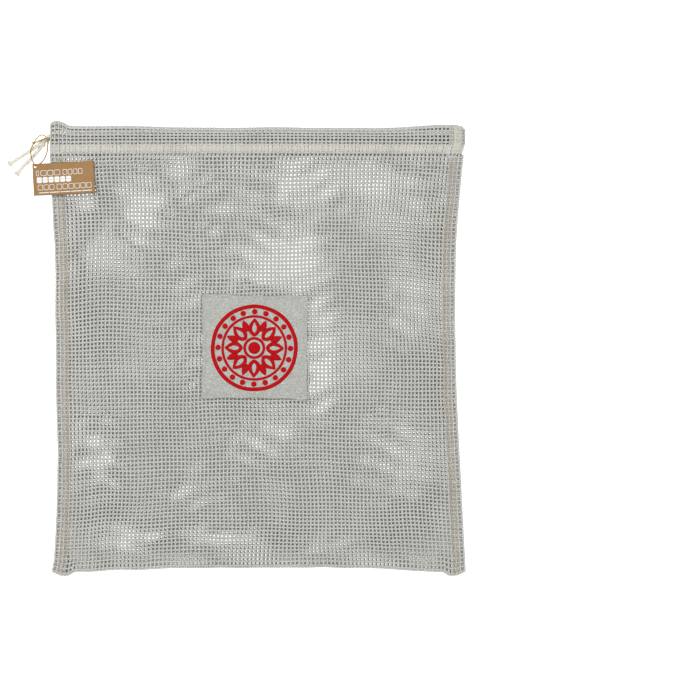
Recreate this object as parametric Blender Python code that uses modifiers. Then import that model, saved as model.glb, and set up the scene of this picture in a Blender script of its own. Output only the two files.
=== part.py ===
"""Mesh laundry bag, lying flat: net walls, drawstring casing, cord, canvas patch and hang tag.

+X runs to the bag's right, +Y to its mouth and +Z up from the surface it lies on. The origin is the
middle of the underside of the back wall. Units are metres.
"""

from math import cos, pi, radians, sin

import bmesh
import bpy
from mathutils import Matrix, Vector

# Driving dimensions of the bag
BAG_WIDTH = 0.379
BAG_HEIGHT = 0.406
WAIST = 0.005  # how far each side edge bows in, halfway up
CLOTH = 0.001  # thickness of the net
LOFT = 0.011  # how far the front wall stands up between its edges
LOFT_ACROSS_POWER = 4  # a higher power keeps the loft up nearer to the side edges
LOFT_UP_POWER = 6  # the same for the bottom fold
GAP = 0.0003  # clearance between pieces that touch
WELD_DISTANCE = 0.00001
HALF_WIDTH = BAG_WIDTH / 2
MOUTH_Y = BAG_HEIGHT / 2
BOTTOM_Y = -BAG_HEIGHT / 2

# Casing round the mouth
CASING_WIDTH = 0.029
CASING_DEPTH = 0.0052
CASING_WALL = 0.0009
CASING_ARCH = 0.008  # how far the front casing stands above the back one, halfway along
CASING_LOW_Y = MOUTH_Y - CASING_WIDTH
CASING_RIGHT_X = 0.176  # both tunnels end here and the cord turns round
BACK_CASING_Z = CASING_DEPTH / 2
FRONT_CASING_Z = BACK_CASING_Z + CASING_DEPTH + GAP
CASING_ROUNDING = 4  # facets on each rounded edge of a tunnel

# Seams
SEAM_WIDTH = 0.012
SEAM_TAB = 0.0045  # the seam allowance sticks out this far below the bottom fold
SEAM_THICKNESS = 0.0015
SEAM_LOW_Z = CLOTH + GAP
SEAM_HIGH_Z = SEAM_LOW_Z + SEAM_THICKNESS
SEAM_ROWS = 20
EDGE_Z = SEAM_HIGH_Z + GAP  # underside of the front wall along its edges
MOUTH_BLEND_Y = 0.110  # above this the front wall rises to meet its casing
FOLD_OUTER_RADIUS = (EDGE_Z + CLOTH) / 2
FOLD_Y = BOTTOM_Y + FOLD_OUTER_RADIUS
PANEL_LOW_Y = FOLD_Y + GAP
PANEL_HIGH_Y = CASING_LOW_Y - GAP
THREAD = 0.0007
STITCH_INSET = 0.0105
SEAM_STITCH_POINTS = 18
HEM_STITCH_INSET = 0.0035
HEM_STITCH_Y = CASING_LOW_Y + HEM_STITCH_INSET
HEM_STITCH_POINTS = 18
HEM_STITCH_LOW_X = -HALF_WIDTH + STITCH_INSET
HEM_STITCH_INSIDE = 0.155  # the back hem's thread is inside the mouth, where the walls stand apart

# Canvas patch
PATCH_X = -0.003
PATCH_Y = 0.001
PATCH_WIDTH = 0.0965
PATCH_HEIGHT = 0.095
PATCH_THICKNESS = 0.0008
PATCH_INSET = 0.0025
PRINT_RADIUS = 0.0392
PRINT_THICKNESS = 0.0002
PATCH_STITCH_POINTS = 6  # on each side

# Drawstring
CORD = 0.0028
CORD_FRONT_Y = 0.1960
CORD_BACK_Y = 0.1840
CORD_RUN_LOW_X = -0.183
CORD_RUN_POINTS = 36
CORD_TURN_POINTS = 6
CORD_SPACING = 0.012
CORD_END_SPACING = 0.006
KNOT_CENTRE = Vector((-0.1972, 0.1864, 0.0046))
KNOT_SIZE = Vector((0.0072, 0.0066, 0.0062))
CORD_FRONT_EXIT = [
    (-0.1941, 0.1886, 0.0066),
    (-0.1930, 0.1896, 0.0073),
    (-0.1911, 0.1922, 0.0080),
    (-0.1875, 0.1950, 0.0083),
]
CORD_BACK_EXIT = [
    (-0.1880, 0.1846, 0.0026),
    (-0.1908, 0.1856, 0.0027),
    (-0.1931, 0.1862, 0.0031),
]
CORD_END_UPPER = [
    (-0.2006, 0.1845, 0.0063),
    (-0.2025, 0.1832, 0.0062),
    (-0.2060, 0.1810, 0.0044),
    (-0.2115, 0.1778, 0.0023),
    (-0.2185, 0.1734, 0.0016),
    (-0.2262, 0.1686, 0.0015),
]
CORD_END_LOWER = [
    (-0.1990, 0.1828, 0.0034),
    (-0.2000, 0.1809, 0.0028),
    (-0.2040, 0.1765, 0.0019),
    (-0.2095, 0.1708, 0.0015),
    (-0.2148, 0.1656, 0.0015),
    (-0.2198, 0.1598, 0.0015),
]

# Hang tag
TAG_LENGTH = 0.056
TAG_HEIGHT = 0.029
TAG_THICKNESS = 0.0005
TAG_CENTRE = Vector((-0.1766, 0.1540, 0.0121))
TAG_TURN = radians(3.0)
TAG_TILT = radians(-3.5)
TAG_HOLE_RADIUS = 0.0014
TAG_HOLE = Vector((-0.0254, 0.0120, 0.0))  # in the card's own frame
TAG_HOLE_CUT = 0.003  # length of the cutter that makes the hole
TAG_PRINT_WIDTH = 0.050
TAG_PRINT_HEIGHT = 0.020
TAG_PRINT_SHIFT = (0.001, -0.0025)
STRING = 0.0008
TAG_STRING_SPACING = 0.003
TAG_KNOT_CENTRE = Vector((-0.2040, 0.1862, 0.0093))
TAG_KNOT_SIZE = Vector((0.0024, 0.0020, 0.0018))
TAG_STRING_ROUTE = [
    (-0.2047, 0.1848, 0.0092),
    (-0.2064, 0.1800, 0.0096),
    (-0.2057, 0.1725, 0.0108),
    (-0.2036, 0.1672, 0.0121),
    (-0.2026, 0.1652, 0.0105),
    (-0.2005, 0.1664, 0.0090),
    (-0.1962, 0.1700, 0.0092),
    (-0.1925, 0.1754, 0.0096),
    (-0.1910, 0.1820, 0.0100),
    (-0.1908, 0.1880, 0.0104),
    (-0.1928, 0.1903, 0.0106),
    (-0.1975, 0.1890, 0.0096),
    (-0.2024, 0.1868, 0.0094),
]

# Facets: (columns, rows) of each sheet, and the fineness of the round pieces
BACK_GRID = (8, 12)
FRONT_GRID = (18, 18)
FOLD_GRID = (6, 8)
PATCH_GRID = (8, 8)
TURN_GRID = (3, 8)
CASING_BACK_COLUMNS = 4
CASING_FRONT_COLUMNS = 16
CORD_SIDES = 2  # bevel resolution of the round cords and threads
KNOT_SEGMENTS = 14
KNOT_RINGS = 8
TAG_HOLE_SEGMENTS = 16

# Colour and roughness of each material
MATERIALS = {
    "net_cotton": ((0.53, 0.53, 0.48), 0.9),
    "seam_tape": ((0.56, 0.53, 0.47), 0.9),
    "sewing_thread": ((0.60, 0.58, 0.52), 0.8),
    "canvas": ((0.50, 0.50, 0.47), 0.9),
    "red_ink": ((0.60, 0.01, 0.02), 0.6),
    "cotton_cord": ((0.80, 0.77, 0.68), 0.85),
    "kraft_card": ((0.45, 0.26, 0.12), 0.8),
    "white_ink": ((0.90, 0.89, 0.86), 0.6),
    "gold_twine": ((0.50, 0.33, 0.10), 0.6),
}


# ---------------------------------------------------------------- scene and materials


def clear_scene():
    for old in list(bpy.data.objects):
        bpy.data.objects.remove(old, do_unlink=True)


def make_collection(name):
    collection = bpy.data.collections.new(name)
    bpy.context.scene.collection.children.link(collection)
    return collection


def make_material(name, colour, roughness):
    material = bpy.data.materials.new(name)
    material.use_nodes = True
    shader = material.node_tree.nodes["Principled BSDF"]
    shader.inputs["Base Color"].default_value = (*colour, 1.0)
    shader.inputs["Roughness"].default_value = roughness
    shader.inputs["Metallic"].default_value = 0.0
    return material


def add_object(name, data, material, collection):
    piece = bpy.data.objects.new(name, data)
    data.materials.append(material)
    collection.objects.link(piece)
    return piece


# ---------------------------------------------------------------- shape of the bag


def smoothstep(low, high, value):
    t = min(max((value - low) / (high - low), 0.0), 1.0)
    return t * t * (3 - 2 * t)


def half_width(y):
    """Distance from the middle to a side edge, at this height up the bag."""
    up = (y - BOTTOM_Y) / (CASING_LOW_Y - BOTTOM_Y)
    return HALF_WIDTH - WAIST * sin(pi * min(max(up, 0.0), 1.0))


def front_casing_z(x):
    """Middle of the front casing: it arches up between the two ends of the mouth."""
    return FRONT_CASING_Z + CASING_ARCH * (1 - (x / HALF_WIDTH) ** 2)


def front_wall_z(x, y):
    """Underside of the front wall."""
    across = 1 - abs(x / half_width(y)) ** LOFT_ACROSS_POWER
    up = 1 - max((MOUTH_BLEND_Y - y) / (MOUTH_BLEND_Y - PANEL_LOW_Y), 0.0) ** LOFT_UP_POWER
    body = EDGE_Z + LOFT * across * up
    mouth = front_casing_z(x) - CLOTH / 2
    share = smoothstep(MOUTH_BLEND_Y, PANEL_HIGH_Y, y)
    return body * (1 - share) + mouth * share


def front_face_z(x, y):
    """Outer face of the front wall."""
    return front_wall_z(x, y) + CLOTH


# ---------------------------------------------------------------- builders


def sheet(name, place, grid, thickness, material, collection, closed=False):
    """Shell whose face is place(u, v), with u and v from 0 to 1, thickened along its normals."""
    columns, rows = grid
    bm = bmesh.new()
    bmesh.ops.create_grid(bm, x_segments=columns, y_segments=rows, size=0.5)
    for vertex in bm.verts:
        vertex.co = place(vertex.co.x + 0.5, vertex.co.y + 0.5)
    if closed:
        bmesh.ops.remove_doubles(bm, verts=bm.verts, dist=WELD_DISTANCE)
    mesh = bpy.data.meshes.new(name)
    bm.to_mesh(mesh)
    bm.free()
    piece = add_object(name, mesh, material, collection)
    thicken = piece.modifiers.new("Thickness", "SOLIDIFY")
    thicken.thickness = thickness
    thicken.offset = 1.0
    return piece


def tube(name, points, diameter, material, collection, cyclic=False):
    """Round cord or thread along the points."""
    curve = bpy.data.curves.new(name, "CURVE")
    curve.dimensions = "3D"
    curve.bevel_depth = diameter / 2
    curve.bevel_resolution = CORD_SIDES
    curve.use_fill_caps = not cyclic
    spline = curve.splines.new("POLY")
    spline.points.add(len(points) - 1)
    for point, place in zip(spline.points, points):
        point.co = (*place, 1.0)
    spline.use_cyclic_u = cyclic
    return add_object(name, curve, material, collection)


def smooth_route(guides, spacing):
    """Points at about this spacing along a smooth curve through the guide points."""
    guides = [Vector(guide) for guide in guides]
    last = len(guides) - 1
    points = []
    for index in range(last):
        before, start, end = guides[max(index - 1, 0)], guides[index], guides[index + 1]
        after = guides[min(index + 2, last)]
        steps = max(1, round((end - start).length / spacing))
        for step in range(steps):
            t = step / steps
            bend = (end - before) * t + (2 * before - 5 * start + 4 * end - after) * t**2
            bend += (3 * start - before - 3 * end + after) * t**3
            points.append(start + bend / 2)
    points.append(guides[-1])
    return points


def ellipsoid(name, centre, size, material, collection):
    bm = bmesh.new()
    bmesh.ops.create_uvsphere(bm, u_segments=KNOT_SEGMENTS, v_segments=KNOT_RINGS, radius=0.5)
    bmesh.ops.scale(bm, vec=size, verts=bm.verts)
    mesh = bpy.data.meshes.new(name)
    bm.to_mesh(mesh)
    bm.free()
    piece = add_object(name, mesh, material, collection)
    piece.location = centre
    mesh.shade_smooth()
    return piece


def plate(name, width, height, thickness, material, collection):
    """Flat card, centred on its own origin."""
    bm = bmesh.new()
    bmesh.ops.create_cube(bm, size=1.0)
    bmesh.ops.scale(bm, vec=(width, height, thickness), verts=bm.verts)
    mesh = bpy.data.meshes.new(name)
    bm.to_mesh(mesh)
    bm.free()
    return add_object(name, mesh, material, collection)


# ---------------------------------------------------------------- walls of the bag


def make_walls(net, collection):
    panel_height = PANEL_HIGH_Y - PANEL_LOW_Y

    def back(u, v):
        y = PANEL_LOW_Y + panel_height * v
        return Vector(((2 * u - 1) * half_width(y), y, 0.0))

    def front(u, v):
        flat = back(u, v)
        return Vector((flat.x, flat.y, front_wall_z(flat.x, flat.y)))

    def fold(u, v):
        half = half_width(BOTTOM_Y) - SEAM_WIDTH - GAP
        angle = pi * (v - 0.5)
        radius = FOLD_OUTER_RADIUS - CLOTH
        y = FOLD_Y - radius * cos(angle)
        return Vector(((2 * u - 1) * half, y, FOLD_OUTER_RADIUS + radius * sin(angle)))

    sheet("back_panel", back, BACK_GRID, CLOTH, net, collection)
    sheet("front_panel", front, FRONT_GRID, CLOTH, net, collection)
    sheet("bottom_fold", fold, FOLD_GRID, CLOTH, net, collection)


# ---------------------------------------------------------------- casing round the mouth


def slot_profile(width, depth, steps):
    """Outline of a flattened tube, as (across, up) offsets from its middle; the last point is the first."""
    reach = (width - depth) / 2
    radius = depth / 2
    angles = [pi * (step / steps - 0.5) for step in range(steps + 1)]
    one_end = [(reach + radius * cos(angle), radius * sin(angle)) for angle in angles]
    other_end = [(-across, -up) for across, up in one_end]
    return one_end + other_end + one_end[:1]


def make_casing(net, collection):
    profile = slot_profile(CASING_WIDTH, CASING_DEPTH, CASING_ROUNDING)
    rows = len(profile) - 1
    middle_y = CASING_LOW_Y + CASING_WIDTH / 2

    def tunnel(centre_z):
        def place(u, v):
            x = -HALF_WIDTH + (CASING_RIGHT_X + HALF_WIDTH) * u
            across, up = profile[round(v * rows)]
            return Vector((x, middle_y + across, centre_z(x) + up))

        return place

    def right_turn(u, v):
        """The cloth of the casing where it goes round the right side, open towards the inside."""
        angle = pi * (v - 0.5)
        middle = (front_casing_z(CASING_RIGHT_X) + BACK_CASING_Z) / 2
        radius = middle - CASING_WALL
        reach = HALF_WIDTH - CASING_RIGHT_X - GAP - CASING_WALL
        x = CASING_RIGHT_X + GAP + reach * cos(angle)
        return Vector((x, CASING_LOW_Y + CASING_WIDTH * u, middle + radius * sin(angle)))

    back = tunnel(lambda x: BACK_CASING_Z)
    front = tunnel(front_casing_z)
    sheet("casing_back", back, (CASING_BACK_COLUMNS, rows), CASING_WALL, net, collection, closed=True)
    sheet("casing_front", front, (CASING_FRONT_COLUMNS, rows), CASING_WALL, net, collection, closed=True)
    sheet("casing_right_turn", right_turn, TURN_GRID, CASING_WALL, net, collection)


# ---------------------------------------------------------------- seams and threads


def make_seam_allowance(name, side, material, collection):
    """Folded band between the two walls, from its tab below the bottom fold up to the casing."""
    low_y = BOTTOM_Y - SEAM_TAB
    bm = bmesh.new()
    bmesh.ops.create_grid(bm, x_segments=1, y_segments=SEAM_ROWS, size=0.5)
    extruded = bmesh.ops.extrude_face_region(bm, geom=bm.faces[:])
    upper = {item for item in extruded["geom"] if isinstance(item, bmesh.types.BMVert)}
    for vertex in bm.verts:
        y = low_y + (PANEL_HIGH_Y - low_y) * (vertex.co.y + 0.5)
        edge = half_width(y)
        high_z = front_wall_z(edge, max(y, PANEL_LOW_Y)) - GAP
        x = edge - SEAM_WIDTH * (vertex.co.x + 0.5)
        vertex.co = (side * x, y, high_z if vertex in upper else SEAM_LOW_Z)
    bmesh.ops.recalc_face_normals(bm, faces=bm.faces)
    mesh = bpy.data.meshes.new(name)
    bm.to_mesh(mesh)
    bm.free()
    add_object(name, mesh, material, collection)


def make_seams(band, thread, collection):
    thread_lift = 2 * GAP + THREAD / 2
    low_y = PANEL_LOW_Y + STITCH_INSET
    for name, side in (("left", -1), ("right", 1)):
        make_seam_allowance("seam_allowance_" + name, side, band, collection)
        stitches = []
        for step in range(SEAM_STITCH_POINTS + 1):
            y = low_y + (PANEL_HIGH_Y - GAP - low_y) * step / SEAM_STITCH_POINTS
            x = side * (half_width(y) - STITCH_INSET)
            stitches.append((x, y, front_face_z(x, y) + thread_lift))
        tube("side_stitching_" + name, stitches, THREAD, thread, collection)

    front = []
    back = []
    for step in range(HEM_STITCH_POINTS + 1):
        share = step / HEM_STITCH_POINTS
        x = HEM_STITCH_LOW_X + (CASING_RIGHT_X - GAP - HEM_STITCH_LOW_X) * share
        front.append((x, HEM_STITCH_Y, front_casing_z(x) + CASING_DEPTH / 2 + thread_lift))
        x = HEM_STITCH_INSIDE * (2 * share - 1)
        back.append((x, HEM_STITCH_Y, BACK_CASING_Z + CASING_DEPTH / 2 + thread_lift))
    tube("hem_stitching_front", front, THREAD, thread, collection)
    tube("hem_stitching_back", back, THREAD, thread, collection)


# ---------------------------------------------------------------- canvas patch


def patch_face_z(x, y, lift):
    """Height of a layer that lies this far above the front wall."""
    return front_face_z(x, y) + lift


def make_patch(canvas, thread, ink, collection):
    cloth_lift = 2 * GAP
    top_lift = cloth_lift + PATCH_THICKNESS

    def cloth(u, v):
        x = PATCH_X + PATCH_WIDTH * (u - 0.5)
        y = PATCH_Y + PATCH_HEIGHT * (v - 0.5)
        return Vector((x, y, patch_face_z(x, y, cloth_lift)))

    def disc(u, v):
        """A square pressed out to a round outline."""
        across = 2 * u - 1
        up = 2 * v - 1
        x = PATCH_X + PRINT_RADIUS * across * (1 - up * up / 2) ** 0.5
        y = PATCH_Y + PRINT_RADIUS * up * (1 - across * across / 2) ** 0.5
        return Vector((x, y, patch_face_z(x, y, top_lift + GAP)))

    sheet("canvas_patch", cloth, PATCH_GRID, PATCH_THICKNESS, canvas, collection)
    sheet("patch_print", disc, PATCH_GRID, PRINT_THICKNESS, ink, collection)

    stitches = []
    half_x = PATCH_WIDTH / 2 - PATCH_INSET
    half_y = PATCH_HEIGHT / 2 - PATCH_INSET
    corners = [(-half_x, -half_y), (half_x, -half_y), (half_x, half_y), (-half_x, half_y)]
    for corner, following in zip(corners, corners[1:] + corners[:1]):
        for step in range(PATCH_STITCH_POINTS):
            share = step / PATCH_STITCH_POINTS
            x = PATCH_X + corner[0] + (following[0] - corner[0]) * share
            y = PATCH_Y + corner[1] + (following[1] - corner[1]) * share
            stitches.append((x, y, patch_face_z(x, y, top_lift + GAP + THREAD / 2)))
    tube("patch_stitching", stitches, THREAD, thread, collection, cyclic=True)


# ---------------------------------------------------------------- drawstring


def drawstring_route():
    """From the knot along the front tunnel, round the right side and back along the other tunnel."""
    front_end = Vector((CASING_RIGHT_X, CORD_FRONT_Y, front_casing_z(CASING_RIGHT_X)))
    back_end = Vector((CASING_RIGHT_X, CORD_BACK_Y, BACK_CASING_Z))
    middle = (front_end + back_end) / 2
    spoke = front_end - middle
    run_length = CASING_RIGHT_X - CORD_RUN_LOW_X
    route = list(CORD_FRONT_EXIT)
    for step in range(CORD_RUN_POINTS):
        x = CORD_RUN_LOW_X + run_length * step / CORD_RUN_POINTS
        route.append((x, CORD_FRONT_Y, front_casing_z(x)))
    for step in range(CORD_TURN_POINTS + 1):
        angle = pi * step / CORD_TURN_POINTS
        route.append(middle + spoke * cos(angle) + Vector((spoke.length * sin(angle), 0.0, 0.0)))
    for step in range(CORD_RUN_POINTS):
        x = CASING_RIGHT_X - run_length * (step + 1) / CORD_RUN_POINTS
        route.append((x, CORD_BACK_Y, BACK_CASING_Z))
    return route + list(CORD_BACK_EXIT)


def make_drawstring(cotton, collection):
    route = drawstring_route()
    tube("drawstring", smooth_route(route, CORD_SPACING), CORD, cotton, collection)
    ellipsoid("drawstring_knot", KNOT_CENTRE, KNOT_SIZE, cotton, collection)
    for name, guides in (("cord_end_upper", CORD_END_UPPER), ("cord_end_lower", CORD_END_LOWER)):
        tube(name, smooth_route(guides, CORD_END_SPACING), CORD, cotton, collection)


# ---------------------------------------------------------------- hang tag


def place_on_card(piece, lift):
    """Turns and tilts a flat piece with the card, this far above the card's middle."""
    turn = Matrix.Rotation(TAG_TURN, 4, "Z") @ Matrix.Rotation(TAG_TILT, 4, "Y")
    piece.matrix_world = Matrix.Translation(TAG_CENTRE) @ turn @ Matrix.Translation((0, 0, lift))


def make_hang_tag(card_stock, ink, twine, collection, cutters):
    card = plate("hang_tag", TAG_LENGTH, TAG_HEIGHT, TAG_THICKNESS, card_stock, collection)
    place_on_card(card, 0.0)

    bm = bmesh.new()
    bmesh.ops.create_cone(
        bm,
        cap_ends=True,
        segments=TAG_HOLE_SEGMENTS,
        radius1=TAG_HOLE_RADIUS,
        radius2=TAG_HOLE_RADIUS,
        depth=TAG_HOLE_CUT,
        matrix=Matrix.Translation(TAG_HOLE),
    )
    mesh = bpy.data.meshes.new("tag_hole_cutter")
    bm.to_mesh(mesh)
    bm.free()
    punch = bpy.data.objects.new("tag_hole_cutter", mesh)
    punch.hide_render = True
    punch.display_type = "WIRE"
    cutters.objects.link(punch)
    place_on_card(punch, 0.0)
    hole = card.modifiers.new("Hole", "BOOLEAN")
    hole.operation = "DIFFERENCE"
    hole.solver = "EXACT"
    hole.object = punch

    printed = plate("tag_print", TAG_PRINT_WIDTH, TAG_PRINT_HEIGHT, PRINT_THICKNESS, ink, collection)
    place_on_card(printed, TAG_THICKNESS / 2 + GAP + PRINT_THICKNESS / 2)
    printed.matrix_world = printed.matrix_world @ Matrix.Translation((*TAG_PRINT_SHIFT, 0.0))

    tube("tag_string", smooth_route(TAG_STRING_ROUTE, TAG_STRING_SPACING), STRING, twine, collection)
    ellipsoid("tag_string_knot", TAG_KNOT_CENTRE, TAG_KNOT_SIZE, twine, collection)


# ---------------------------------------------------------------- main


def main():
    clear_scene()
    bag = make_collection("mesh_laundry_bag")
    cutters = make_collection("cutters")
    look = {name: make_material(name, *values) for name, values in MATERIALS.items()}
    make_walls(look["net_cotton"], bag)
    make_casing(look["net_cotton"], bag)
    make_seams(look["seam_tape"], look["sewing_thread"], bag)
    make_patch(look["canvas"], look["sewing_thread"], look["red_ink"], bag)
    make_drawstring(look["cotton_cord"], bag)
    make_hang_tag(look["kraft_card"], look["white_ink"], look["gold_twine"], bag, cutters)


main()
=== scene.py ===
"""Mesh laundry bag, lying flat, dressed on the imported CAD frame.

+X runs to the bag's right, +Y to its mouth and +Z up from the floor. Units are metres.
Every yarn of the net is real geometry. The front wall is settled by a short cloth simulation.
"""

from math import cos, pi, radians, sin

import bpy
import numpy as np
from mathutils import Matrix, Vector


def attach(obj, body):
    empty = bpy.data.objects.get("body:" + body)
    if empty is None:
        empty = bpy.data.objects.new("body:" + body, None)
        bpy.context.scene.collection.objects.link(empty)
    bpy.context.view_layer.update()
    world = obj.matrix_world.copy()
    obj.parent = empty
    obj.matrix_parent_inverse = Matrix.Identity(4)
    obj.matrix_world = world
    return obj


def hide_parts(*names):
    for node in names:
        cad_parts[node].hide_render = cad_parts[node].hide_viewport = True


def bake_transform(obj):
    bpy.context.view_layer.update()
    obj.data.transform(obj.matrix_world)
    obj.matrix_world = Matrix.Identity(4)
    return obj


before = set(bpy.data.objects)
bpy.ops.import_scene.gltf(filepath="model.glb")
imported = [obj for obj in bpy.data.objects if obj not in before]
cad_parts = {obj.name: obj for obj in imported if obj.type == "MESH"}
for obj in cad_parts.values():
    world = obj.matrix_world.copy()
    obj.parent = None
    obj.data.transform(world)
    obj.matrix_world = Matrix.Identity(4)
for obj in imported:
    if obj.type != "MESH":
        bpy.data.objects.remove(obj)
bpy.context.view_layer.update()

SEED = 7
chance = np.random.default_rng(SEED)
UP = (0.0, 0.0, 1.0)

# The bag, as the CAD frame has it
HALF_WIDTH = 0.1895
MOUTH_Y = 0.203
BOTTOM_Y = -0.203
WAIST = 0.005
LOFT = 0.011
CASING_WIDTH = 0.029
CASING_DEPTH = 0.0052
CASING_ARCH = 0.008
CASING_LOW_Y = MOUTH_Y - CASING_WIDTH
CASING_MIDDLE_Y = MOUTH_Y - CASING_WIDTH / 2
CASING_RIGHT_X = 0.176
BACK_CASING_Z = CASING_DEPTH / 2
FRONT_CASING_Z = 0.0081
EDGE_Z = 0.0031
MOUTH_BLEND_Y = 0.110
FOLD_Y = BOTTOM_Y + 0.00205
PANEL_HIGH_Y = 0.1737
HEM_STEP = 0.0016  # the wall comes up to the outer face of its casing

# The net
PITCH = 0.00364
YARN_WIDTH = 0.00186
YARN_HEIGHT = 0.00100
WEAVE_RISE = 0.00026
NET_LIFT = YARN_HEIGHT / 2 + WEAVE_RISE
COLUMNS = 105
KNUCKLE = 0.10  # a yarn is this much thicker where it crosses another


# ---- helpers


def smoothstep(low, high, value):
    t = np.clip((np.asarray(value, float) - low) / (high - low), 0.0, 1.0)
    return t * t * (3 - 2 * t)


def bump(value, centre, width):
    return np.exp(-(((np.asarray(value, float) - centre) / width) ** 2))


def wave(value, length=1.0, start=0.0):
    """A sine of this wavelength, started at this angle."""
    return np.sin(2 * pi * value / length + start)


def unit(vectors):
    return vectors / np.maximum(np.linalg.norm(vectors, axis=1, keepdims=True), 1e-12)


def smooth_route(guides, spacing):
    """Points at about this spacing along a smooth curve through the guide points."""
    guides = [np.array(guide, float) for guide in guides]
    last = len(guides) - 1
    points = []
    for index in range(last):
        before, start, end = guides[max(index - 1, 0)], guides[index], guides[index + 1]
        after = guides[min(index + 2, last)]
        steps = max(1, round(float(np.linalg.norm(end - start)) / spacing))
        for step in range(steps):
            t = step / steps
            bend = (end - before) * t + (2 * before - 5 * start + 4 * end - after) * t**2
            bend += (3 * start - before - 3 * end + after) * t**3
            points.append(start + bend / 2)
    points.append(guides[-1])
    return np.array(points)


def distances(line):
    """How far along the line each of its points is."""
    return np.concatenate([[0.0], np.cumsum(np.linalg.norm(np.diff(line, axis=0), axis=1))])


def pick(line, along, wanted):
    """Points of the line at the wanted distances along it."""
    return np.stack([np.interp(wanted, along, line[:, axis]) for axis in range(3)], axis=1)


def even_route(points, spacing):
    """The same line, with its points an even distance apart."""
    along = distances(points)
    count = max(2, round(along[-1] / spacing) + 1)
    return pick(points, along, np.linspace(0.0, along[-1], count))


def carried_normals(points):
    """A normal at each point that turns as little as it can from one to the next, and starts upwards."""
    normal = np.array(UP)
    normals = []
    for tangent in unit(np.gradient(points, axis=0)):
        normal = normal - tangent * normal.dot(tangent)
        normal = normal / np.linalg.norm(normal)
        normals.append(normal)
    return np.array(normals)


def net_faces(rows, columns, closed, start=0):
    """Quads between rows of points. When it is closed, the last column joins the first."""
    row = np.arange(rows - 1)[:, None] * columns
    here = np.arange(columns if closed else columns - 1)[None, :]
    following = (here + 1) % columns
    corners = [row + here, row + following, row + columns + following, row + columns + here]
    return (np.stack(corners, axis=2).reshape(-1, 4) + start).tolist()


def polar(radius, angle, centre=(0.0, 0.0)):
    """(x, y) points at this distance and these angles round a centre."""
    return np.stack([centre[0] + radius * np.cos(angle), centre[1] + radius * np.sin(angle)], axis=-1)


def turned(points, angle):
    """The same points, turned about the vertical axis."""
    spin = np.array([(cos(angle), sin(angle)), (-sin(angle), cos(angle))])
    return np.concatenate([points[:, :2] @ spin, points[:, 2:]], axis=1)


def add_object(name, data):
    thing = bpy.data.objects.new(name, data)
    bpy.context.scene.collection.objects.link(thing)
    return thing


def add_mesh(name, points, faces, material):
    mesh = bpy.data.meshes.new(name)
    mesh.from_pydata(points, [], faces)
    mesh.shade_smooth()
    mesh.materials.append(material)
    return add_object(name, mesh)


def thicken(piece, thickness):
    """Gives a flat piece a thickness, half of it on each side."""
    modifier = piece.modifiers.new("Thickness", "SOLIDIFY")
    modifier.thickness = thickness
    modifier.offset = 0.0
    bpy.context.view_layer.update()
    flat = piece.data
    graph = bpy.context.evaluated_depsgraph_get()
    piece.data = bpy.data.meshes.new_from_object(piece.evaluated_get(graph))
    piece.modifiers.clear()
    bpy.data.meshes.remove(flat)
    piece.data.name = piece.name


def fix_to(body, piece, slot_name, *nodes):
    """A piece that rides on one body and is drawn in place of these CAD nodes."""
    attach(piece, body)
    if nodes:
        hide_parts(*nodes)


class Tubes:
    """Gathers tubes of any cross-section into one mesh."""

    def __init__(self):
        self.points = []
        self.faces = []
        self.threads = []
        self.lots = []
        self.count = 0

    def add(self, line, width, height=None, normal=None, sides=4, caps=False, lobes=0, twist=1.0, depth=0.0):
        """A tube along the line. Any lobes wind round it, each to the next one's place in one twist."""
        line = np.asarray(line, float)
        rings = len(line)
        if normal is None:
            normal = carried_normals(line)
        tangent = unit(np.gradient(line, axis=0))
        side = unit(np.cross(tangent, np.broadcast_to(np.asarray(normal, float), line.shape)))
        up = np.cross(side, tangent)
        width = np.broadcast_to(np.asarray(width, float), rings)
        height = width if height is None else np.broadcast_to(np.asarray(height, float), rings)
        along = distances(line)[:, None]
        angle = 2 * pi * np.arange(sides)[None, :] / sides
        swell = 1 + depth * np.cos(lobes * angle - 2 * pi * along / twist)
        across = (np.cos(angle) * swell * width[:, None] / 2)[:, :, None] * side[:, None, :]
        rise = (np.sin(angle) * swell * height[:, None] / 2)[:, :, None] * up[:, None, :]
        self.points.append((line[:, None, :] + across + rise).reshape(-1, 3))
        self.faces += net_faces(rings, sides, True, self.count)
        if caps:
            first = np.arange(sides) + self.count
            self.faces += [first[::-1].tolist(), (first + (rings - 1) * sides).tolist()]
        thread = np.broadcast_arrays(along, np.cos(angle), np.sin(angle))
        self.threads.append(np.stack(thread, axis=-1).reshape(-1, 3))
        self.lots.append(np.full(rings * sides, chance.random()))
        self.count += rings * sides

    def build(self, name, material):
        piece = add_mesh(name, np.concatenate(self.points), self.faces, material)
        thread = piece.data.attributes.new("thread", "FLOAT_VECTOR", "POINT")
        thread.data.foreach_set("vector", np.concatenate(self.threads).astype(np.float32).ravel())
        lot = piece.data.attributes.new("lot", "FLOAT", "POINT")
        lot.data.foreach_set("value", np.concatenate(self.lots).astype(np.float32))
        return piece


def add_sheet(name, places, material):
    """Sheet through a rows x columns x 3 array of points."""
    rows, columns = places.shape[:2]
    return add_mesh(name, places.reshape(-1, 3), net_faces(rows, columns, False), material)


# ---- surfaces of the bag


def half_width(y):
    up = (np.asarray(y, float) - BOTTOM_Y) / (CASING_LOW_Y - BOTTOM_Y)
    return HALF_WIDTH - WAIST * np.sin(pi * np.clip(up, 0.0, 1.0))


def front_casing_z(x):
    return FRONT_CASING_Z + CASING_ARCH * (1 - (np.asarray(x, float) / HALF_WIDTH) ** 2)


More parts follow.
